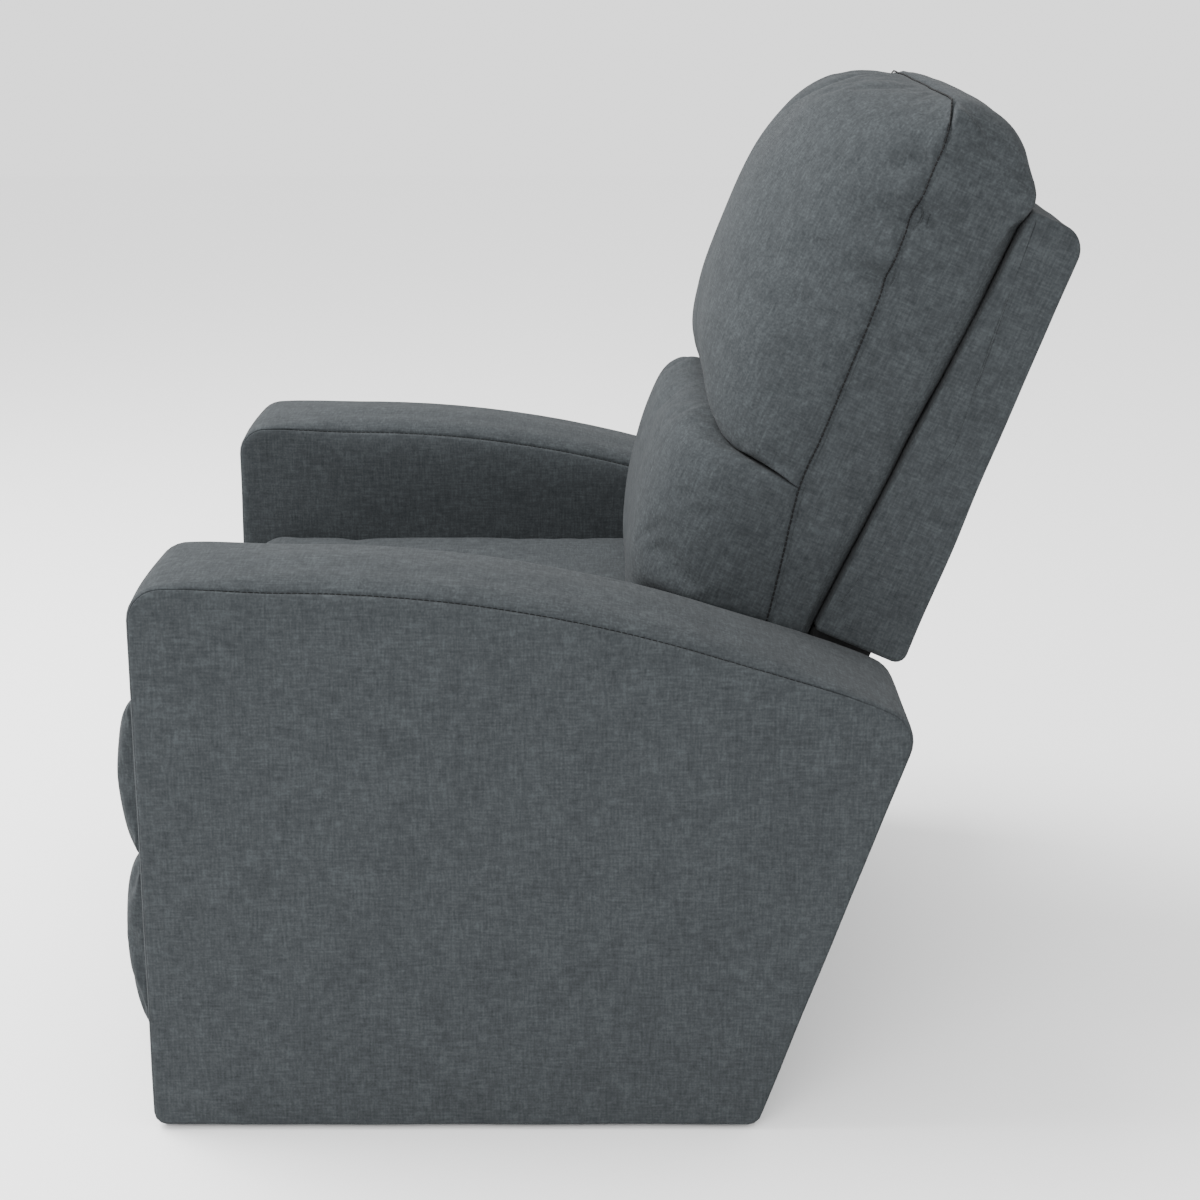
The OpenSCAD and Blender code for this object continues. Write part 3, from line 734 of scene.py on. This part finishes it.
# ---------------------------------------------------------------- materials
def colour(code):
    """An sRGB hex colour as linear RGBA."""
    parts = [int(code[i:i + 2], 16) / 255 for i in (0, 2, 4)]
    return [p / 12.92 if p <= 0.04045 else ((p + 0.055) / 1.055) ** 2.4 for p in parts] + [1]


def add(tree, kind, inputs=None, **settings):
    """Adds one node. An input's value is a number, a colour or another node's output socket."""
    made = tree.nodes.new(kind)
    for key, value in settings.items():
        setattr(made, key, value)
    for key, value in (inputs or {}).items():
        if isinstance(value, bpy.types.NodeSocket):
            tree.links.new(value, made.inputs[key])
        else:
            made.inputs[key].default_value = value
    return made


def new_material(name):
    material = bpy.data.materials.new(name)
    material.use_nodes = True
    material.node_tree.nodes.clear()
    return material, material.node_tree


def surface(tree, inputs):
    """The material's one shader and its output."""
    shader = add(tree, "ShaderNodeBsdfPrincipled", inputs)
    out = tree.nodes.new("ShaderNodeOutputMaterial")
    tree.links.new(shader.outputs[0], out.inputs["Surface"])


def object_space(tree, scale=(1, 1, 1), turn=0.0):
    """Places on the piece in metres, stretched by scale after a turn about X."""
    place = add(tree, "ShaderNodeTexCoord").outputs["Object"]
    if turn:
        place = add(tree, "ShaderNodeMapping", {"Vector": place, "Rotation": (turn, 0, 0)}).outputs[0]
    return add(tree, "ShaderNodeMapping", {"Vector": place, "Scale": scale}).outputs[0]


def noise_at(tree, vector, scale=1.0, detail=2.0, rough=0.5):
    return add(tree, "ShaderNodeTexNoise", {"Vector": vector, "Scale": scale, "Detail": detail,
                                            "Roughness": rough}).outputs["Fac"]


def maths(tree, operation, a, b):
    return add(tree, "ShaderNodeMath", {0: a, 1: b}, operation=operation).outputs[0]


def times_plus(tree, value, factor, plus):
    return maths(tree, "ADD", maths(tree, "MULTIPLY", value, factor), plus)


def shades(tree, fac, stops):
    """A colour ramp from (position, hex) stops."""
    ramp = add(tree, "ShaderNodeValToRGB", {"Fac": fac})
    line = ramp.color_ramp
    line.elements[0].position, line.elements[0].color = stops[0][0], colour(stops[0][1])
    line.elements[1].position, line.elements[1].color = stops[-1][0], colour(stops[-1][1])
    for position, code in stops[1:-1]:
        line.elements.new(position).color = colour(code)
    return ramp.outputs["Color"]


def relief(tree, height, strength, distance):
    inputs = {"Height": height, "Strength": strength, "Distance": distance}
    return add(tree, "ShaderNodeBump", inputs).outputs["Normal"]


FABRIC_STOPS = ((0.36, "26292b"), (0.5, "303335"), (0.64, "3b3f41"))    # dark to pale fibres


def heathered_linen(name, turn=0.0):
    """Polyester linen weave: dark and pale fibres spun together, so each yarn changes shade
    along its length and the cloth looks clouded. Matt, with a little soft nap at the edges.

    The yarns are about 0.8 mm apart in the real cloth and are drawn 2.2 mm apart so that they show.
    """
    material, tree = new_material(name)
    yarn_mm, slub_mm, patch_mm, cloud_mm = 2.2, 19.0, 9.0, 34.0
    across, along = 1000 / yarn_mm, 1000 / slub_mm
    total = None
    for scale in ((along, across, across), (across, along, across), (across, across, along)):
        yarn = noise_at(tree, object_space(tree, scale, turn), 1.0, 1.0)
        total = yarn if total is None else maths(tree, "ADD", total, yarn)
    yarns = maths(tree, "MULTIPLY", total, 1 / 3)
    square = object_space(tree, (1, 1, 1), turn)
    patches = noise_at(tree, square, 1000 / patch_mm, 2.0, 0.55)
    clouds = noise_at(tree, square, 1000 / cloud_mm, 2.0, 0.5)
    mixed = add(tree, "ShaderNodeMix", {"Factor": 0.24, "A": yarns, "B": patches}).outputs["Result"]
    mixed = add(tree, "ShaderNodeMix", {"Factor": 0.12, "A": mixed, "B": clouds}).outputs["Result"]
    tone = shades(tree, mixed, FABRIC_STOPS)
    bump = relief(tree, yarns, 0.5, 0.0010)
    surface(tree, {"Base Color": tone, "Roughness": 0.97, "IOR": 1.45, "Specular IOR Level": 0.08,
                   "Sheen Weight": 0.02, "Sheen Roughness": 0.6, "Normal": bump})
    return material


def thread_and_painted_seam_shadow():
    """Bonded polyester sewing thread: a fine twist, almost matt. The thread is real, but its near-black colour is
    painted shadow, standing in for the shade that falls in the seam's groove.
    """
    material, tree = new_material("thread_and_painted_seam_shadow")
    twist_mm = 0.8
    twist = noise_at(tree, object_space(tree), 1000 / twist_mm, 1.0)
    # near-black: the thread's colour is darkened to paint the shadow in the seam's groove
    surface(tree, {"Base Color": shades(tree, twist, ((0.4, "060607"), (0.6, "0e0f10"))),
                   "Roughness": 0.75, "Specular IOR Level": 0.2,
                   "Normal": relief(tree, twist, 0.3, 0.0002)})
    return material


def cambric():
    """Black spunbonded dust cloth: dull, with a fine felted grain."""
    material, tree = new_material("black_cambric")
    fibre_mm = 1.6
    fibres = noise_at(tree, object_space(tree), 1000 / fibre_mm, 3.0, 0.6)
    surface(tree, {"Base Color": shades(tree, fibres, ((0.4, "0b0b0c"), (0.65, "151516"))),
                   "Roughness": 0.95, "Normal": relief(tree, fibres, 0.3, 0.0004)})
    return material


def birch_plywood(name, thin, grain):
    """Birch plywood, sanded and uncoated: pale rotary-cut faces, and layers on the sawn edges.

    thin is the axis across the layers and grain the axis along the face's figure.
    """
    material, tree = new_material(name)
    ply_mm, figure_mm, length_mm = 1.5, 14.0, 260.0
    scale = [1000 / figure_mm] * 3
    scale["XYZ".index(grain)] = 1000 / length_mm
    scale["XYZ".index(thin)] = 20
    figure = noise_at(tree, object_space(tree, scale), 1.0, 4.0, 0.6)
    layers = add(tree, "ShaderNodeTexWave", {"Vector": object_space(tree), "Scale": 1000 / ply_mm / 20,
                                             "Distortion": 0.3}, bands_direction=thin).outputs["Fac"]
    pores = noise_at(tree, object_space(tree, [s * 12 for s in scale]), 1.0, 2.0)
    face = shades(tree, figure, ((0.3, "c39f6b"), (0.5, "d6b784"), (0.7, "e2c898")))
    edge = shades(tree, layers, ((0.3, "9c7748"), (0.6, "d9bd8c")))
    normal = add(tree, "ShaderNodeNewGeometry").outputs["Normal"]
    split = add(tree, "ShaderNodeSeparateXYZ", {0: normal}).outputs[thin]
    flat = maths(tree, "GREATER_THAN", maths(tree, "ABSOLUTE", split, 0), 0.7)
    # a colour Mix has its colours on inputs 6 and 7 and its result on output 2
    mixed = add(tree, "ShaderNodeMix", {0: flat, 6: edge, 7: face}, data_type="RGBA").outputs[2]
    surface(tree, {"Base Color": mixed, "Roughness": 0.62,
                   "Normal": relief(tree, pores, 0.25, 0.0004)})
    return material


def sawn_pine(name, grain):
    """Kiln-dried pine, planed and uncoated: growth rings as warm streaks along the length."""
    material, tree = new_material(name)
    ring_mm, length_mm = 7.0, 420.0
    scale = [1000 / ring_mm] * 3
    scale["XYZ".index(grain)] = 1000 / length_mm
    rings = noise_at(tree, object_space(tree, scale), 1.0, 3.0, 0.55)
    fibres = noise_at(tree, object_space(tree, [s * 9 for s in scale]), 1.0, 2.0)
    tone = shades(tree, rings, ((0.32, "b98d56"), (0.48, "d3b07a"), (0.62, "e0c490"), (0.7, "c79c62")))
    surface(tree, {"Base Color": tone, "Roughness": 0.7, "Normal": relief(tree, fibres, 0.35, 0.0006)})
    return material


def black_electrocoat():
    """Mild steel with black electrocoat: even, semi-gloss, with slight orange peel and dust."""
    material, tree = new_material("black_electrocoat")
    peel_mm, dust_mm = 2.5, 30.0
    peel = noise_at(tree, object_space(tree), 1000 / peel_mm, 2.0)
    dust = noise_at(tree, object_space(tree), 1000 / dust_mm, 5.0, 0.65)
    surface(tree, {"Base Color": shades(tree, dust, ((0.4, "151617"), (0.7, "232526"))),
                   "Roughness": times_plus(tree, dust, 0.25, 0.28),
                   "IOR": 1.5, "Normal": relief(tree, peel, 0.15, 0.0003)})
    return material


def zinc_plate():
    """Bright zinc plate on steel: a cool grey metal, slightly cloudy, with fine tool marks."""
    material, tree = new_material("zinc_plate")
    spangle_mm, mark_mm = 3.0, 0.5
    clouds = noise_at(tree, object_space(tree), 1000 / spangle_mm, 3.0)
    marks = noise_at(tree, object_space(tree, (200, 1000 / mark_mm, 1000 / mark_mm)), 1.0, 2.0)
    surface(tree, {"Base Color": shades(tree, clouds, ((0.35, "a9adb0"), (0.65, "cfd2d2"))),
                   "Metallic": 1.0, "Roughness": times_plus(tree, clouds, 0.25, 0.22),
                   "Normal": relief(tree, marks, 0.15, 0.0002)})
    return material


def oil_tempered_wire():
    """Oil-tempered spring wire: dark blue-brown oxide over steel, smooth."""
    material, tree = new_material("oil_tempered_wire")
    scale_mm = 6.0
    oxide = noise_at(tree, object_space(tree), 1000 / scale_mm, 4.0)
    surface(tree, {"Base Color": shades(tree, oxide, ((0.35, "2b2a2c"), (0.6, "47423f"), (0.75, "5a5450"))),
                   "Metallic": 0.85, "Roughness": times_plus(tree, oxide, 0.3, 0.25),
                   "Normal": relief(tree, oxide, 0.1, 0.0002)})
    return material


def moulded_plastic(name, dark, pale, rough):
    """Injection-moulded plastic: an even colour with a faint flow pattern and fine spark texture."""
    material, tree = new_material(name)
    flow_mm, spark_mm = 12.0, 0.7
    flow = noise_at(tree, object_space(tree), 1000 / flow_mm, 2.0)
    spark = noise_at(tree, object_space(tree), 1000 / spark_mm, 1.0)
    surface(tree, {"Base Color": shades(tree, flow, ((0.35, dark), (0.65, pale))), "Roughness": rough,
                   "IOR": 1.53, "Normal": relief(tree, spark, 0.2, 0.0002)})
    return material


def jute_webbing():
    """Woven jute webbing: coarse brown yarns."""
    material, tree = new_material("jute_webbing")
    yarn_mm = 2.4
    warp = add(tree, "ShaderNodeTexWave", {"Vector": object_space(tree), "Scale": 1000 / yarn_mm / 20,
                                           "Distortion": 1.0}, bands_direction="X").outputs["Fac"]
    weft = add(tree, "ShaderNodeTexWave", {"Vector": object_space(tree, turn=BACK_LEAN),
                                           "Scale": 1000 / yarn_mm / 20, "Distortion": 1.0},
               bands_direction="Z").outputs["Fac"]
    weave = maths(tree, "MULTIPLY", warp, weft)
    tone = shades(tree, weave, ((0.0, "6b4d2c"), (0.5, "9a7646"), (1.0, "b8935c")))
    surface(tree, {"Base Color": tone, "Roughness": 0.92, "Normal": relief(tree, weave, 0.8, 0.0009)})
    return material


def cut_foam():
    """Slabstock polyurethane foam: cream, dull, and pitted all over with small open cells."""
    material, tree = new_material("cut_foam")
    cell_mm = 2.0
    cells = add(tree, "ShaderNodeTexVoronoi", {"Vector": object_space(tree), "Scale": 1000 / cell_mm})
    tone = shades(tree, cells.outputs["Distance"], ((0.0, "b3a56c"), (0.45, "ddd09a"), (0.8, "ece2b6")))
    surface(tree, {"Base Color": tone, "Roughness": 0.95,
                   "Normal": relief(tree, cells.outputs["Distance"], 0.6, 0.0008)})
    return material


def wear(obj, material):
    """Gives a piece its one material."""
    obj.data.materials.clear()
    obj.data.materials.append(material)


linen = heathered_linen("heathered_linen")
linen_back = heathered_linen("heathered_linen_back", BACK_LEAN)
thread = thread_and_painted_seam_shadow()
spring_wire = oil_tempered_wire()
for obj in (left_arm, right_arm, seat, rear, *wraps, *foot_covers.values()):
    wear(obj, linen)
for obj in (upper, lumbar, border, slab):
    wear(obj, linen_back)
wear(lining, cambric())

finish = {
    "arm_foam": cut_foam(), "coated_steel": black_electrocoat(), "zinc_fasteners": zinc_plate(),
    "spring_steel": spring_wire, "nylon": moulded_plastic("moulded_nylon", "d3cfc2", "e6e3d8", 0.42),
    "glide_plastic": moulded_plastic("moulded_polyethylene", "0d0d0e", "1a1a1b", 0.5),
    "webbing": jute_webbing(),
}
side_ply = birch_plywood("birch_plywood_sides", "X", "Y")
board_ply = birch_plywood("birch_plywood_boards", "Y", "X")
pine_across = sawn_pine("sawn_pine_across", "X")
pine_along = sawn_pine("sawn_pine_along", "Y")
pine_upright = sawn_pine("sawn_pine_upright", "Z")
ACROSS = ("front_stretcher", "rear_stretcher", "seat_front_rail", "back_top_rail", "back_bottom_rail")
ALONG = ("seat_left_rail", "seat_right_rail")
for part in frame["record"]["subparts"]:
    node, slot_name = part["node"], part["material_slot"]
    if slot_name == "plywood":
        wear(frame["nodes"][node], side_ply if "arm" in node else board_ply)
    elif slot_name == "lumber":
        wear(frame["nodes"][node], pine_across if node in ACROSS else
             pine_along if node in ALONG else pine_upright)
    elif slot_name in finish:
        wear(frame["nodes"][node], finish[slot_name])


# ---------------------------------------------------------------- repeats made with Geometry Nodes
def node_group(name, numbers):
    """A Geometry Nodes group with geometry in and out and one number input for each size."""
    group = bpy.data.node_groups.new(name, "GeometryNodeTree")
    group.interface.new_socket("Geometry", in_out="INPUT", socket_type="NodeSocketGeometry")
    for size in numbers:
        group.interface.new_socket(size, in_out="INPUT", socket_type="NodeSocketFloat")
    group.interface.new_socket("Geometry", in_out="OUTPUT", socket_type="NodeSocketGeometry")
    start = group.nodes.new("NodeGroupInput")
    return group, {s.name: s for s in start.outputs if s.name}


def close_group(group, geometry, material):
    """Ends a group: instances made real, its material set, and out."""
    real = add(group, "GeometryNodeRealizeInstances", {"Geometry": geometry}).outputs[0]
    dressed = add(group, "GeometryNodeSetMaterial", {"Geometry": real, "Material": material}).outputs[0]
    out = group.nodes.new("NodeGroupOutput")
    group.links.new(dressed, out.inputs["Geometry"])


def run_group(obj, group, values):
    """Runs a group on a piece and leaves a plain mesh."""
    modifier = obj.modifiers.new(group.name, "NODES")
    modifier.node_group = group
    for item in group.interface.items_tree:
        if item.name in values:
            modifier[item.identifier] = values[item.name]
    return plain_mesh(obj)


def stitch_group():
    """A row of lock stitches: short lengths of thread set end to end along a seam."""
    group, size = node_group("stitches", ("Step", "Length", "Thread radius"))
    seam = add(group, "GeometryNodeMeshToCurve", {"Mesh": size["Geometry"]}).outputs[0]
    marks = add(group, "GeometryNodeResampleCurve", {"Curve": seam, "Length": size["Step"]}, mode="LENGTH")
    ahead = add(group, "GeometryNodeInputTangent").outputs[0]
    turn = add(group, "FunctionNodeAlignRotationToVector", {"Vector": ahead}, axis="X").outputs[0]
    half = add(group, "ShaderNodeMath", {0: size["Length"], 1: 0.5}, operation="MULTIPLY").outputs[0]
    back = add(group, "ShaderNodeMath", {0: half, 1: -1.0}, operation="MULTIPLY").outputs[0]
    ends = [add(group, "ShaderNodeCombineXYZ", {"X": x}).outputs[0] for x in (back, half)]
    top = add(group, "ShaderNodeCombineXYZ", {"Z": size["Thread radius"]}).outputs[0]
    arc = add(group, "GeometryNodeCurveQuadraticBezier",
              {"Resolution": 4, "Start": ends[0], "Middle": top, "End": ends[1]}).outputs[0]
    ring = add(group, "GeometryNodeCurvePrimitiveCircle",
               {"Resolution": 6, "Radius": size["Thread radius"]}).outputs[0]
    stitch = add(group, "GeometryNodeCurveToMesh",
                 {"Curve": arc, "Profile Curve": ring, "Fill Caps": True}).outputs[0]
    rows = add(group, "GeometryNodeInstanceOnPoints",
               {"Points": marks.outputs[0], "Instance": stitch, "Rotation": turn}).outputs[0]
    # the stitches wear the near-black thread, which paints shadow along the seams
    close_group(group, rows, thread)
    return group


def wire_group(material):
    """A round wire swept along a path."""
    group, size = node_group("wire", ("Wire radius",))
    path = add(group, "GeometryNodeMeshToCurve", {"Mesh": size["Geometry"]}).outputs[0]
    ring = add(group, "GeometryNodeCurvePrimitiveCircle",
               {"Resolution": 7, "Radius": size["Wire radius"]}).outputs[0]
    swept = add(group, "GeometryNodeCurveToMesh",
                {"Curve": path, "Profile Curve": ring, "Fill Caps": True}).outputs[0]
    close_group(group, swept, material)
    return group


def paths_mesh(name, paths):
    """Several open paths as one mesh of edges."""
    points = np.vstack(paths)
    edges, start = [], 0
    for path in paths:
        edges += [(start + i, start + i + 1) for i in range(len(path) - 1)]
        start += len(path)
    return make_mesh(name, points, [], edges)


stitches = stitch_group()
for body, paths in seam_paths.items():
    piece = paths_mesh(body + "_stitching", [even_steps(p, 600) for p in paths])
    run_group(piece, stitches, {"Step": STITCH_STEP, "Length": STITCH_LENGTH, "Thread radius": THREAD_R})
    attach(piece, body)


# ---------------------------------------------------------------- footrest springs
SPRING_HOOK = np.array([-0.165, 0.222])      # on the side plate, as [y, z]
COIL_R, COIL_WIRE_R, COIL_PITCH, HOOK_REACH = 0.0058, 0.0011, 0.0026, 0.016


def spring_path(x):
    """A close-wound tension spring with a loop at each end, from its hook to the drive link."""
    hip = np.array(joint["footrest_open"]["pos_m"][1:])
    knee = np.array(joint["knee_level"]["pos_m"][1:])
    far = hip + (knee - hip) * 0.3
    run = np.linalg.norm(far - SPRING_HOOK)
    ahead = np.array([0, *(far - SPRING_HOOK)]) / run
    across = np.array([1.0, 0, 0])
    up = np.cross(ahead, across)
    coil = run - 2 * HOOK_REACH
    turns = int(coil / COIL_PITCH)
    t = np.linspace(0, turns, turns * 12 + 1)
    body = [(HOOK_REACH + coil * k / turns, COIL_R * math.cos(2 * math.pi * k),
             COIL_R * math.sin(2 * math.pi * k)) for k in t]
    loop = [(HOOK_REACH - 0.004 - 0.0055 + 0.0055 * math.cos(a), 0.0055 * math.sin(a), 0)
            for a in np.radians(np.arange(-320, 1, 20))]
    other = [(run - s, u, v) for s, u, v in loop[::-1]]
    start = np.array([0, *SPRING_HOOK]) + across * x
    return np.array([start + ahead * s + across * u + up * v for s, u, v in loop + body + other])


coil_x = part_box("footrest_springs")[1].x - 0.007
wire = wire_group(spring_wire)
springs = paths_mesh("footrest_spring_coils", [spring_path(coil_x), spring_path(-coil_x)])
run_group(springs, wire, {"Wire radius": COIL_WIRE_R})
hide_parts("footrest_springs")
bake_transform(springs)

# ---------------------------------------------------------------- stage, camera and light
floor = make_mesh("floor", [(-9, -9, 0), (9, -9, 0), (9, 9, 0), (-9, 9, 0)], [(0, 1, 2, 3)])
floor_material, tree = new_material("pale_floor")
surface(tree, {"Base Color": colour("fbfbfb"), "Roughness": 0.9})
floor.data.materials.append(floor_material)

CAMERA_PITCH = math.radians(16)
camera = bpy.data.objects.new("camera", bpy.data.cameras.new("camera"))
scene.collection.objects.link(camera)
camera.location = (2.6062, 0.0166, 1.1755)
camera.rotation_mode = "QUATERNION"
look = Vector((-math.cos(CAMERA_PITCH), 0, -math.sin(CAMERA_PITCH)))
camera.rotation_quaternion = look.to_track_quat("-Z", "Y")
camera.data.sensor_width = 36
camera.data.lens = 70.5
scene.camera = camera


def softbox(name, place, aim, size, power):
    lamp = bpy.data.lights.new(name, "AREA")
    lamp.shape, lamp.size, lamp.energy = "SQUARE", size, power
    obj = bpy.data.objects.new(name, lamp)
    scene.collection.objects.link(obj)
    obj.location = place
    obj.rotation_mode = "QUATERNION"
    obj.rotation_quaternion = (Vector(aim) - Vector(place)).to_track_quat("-Z", "Y")


softbox("overhead", (-0.4, -2.1, 3.0), (0, 0, 0.5), 2.4, 255)
softbox("side_fill", (3.4, -1.0, 2.0), (0, 0, 0.5), 2.4, 90)
world = bpy.data.worlds.new("studio")
scene.world = world
world.use_nodes = True
world.node_tree.nodes["Background"].inputs["Color"].default_value = (1, 1, 1, 1)
world.node_tree.nodes["Background"].inputs["Strength"].default_value = 1.7
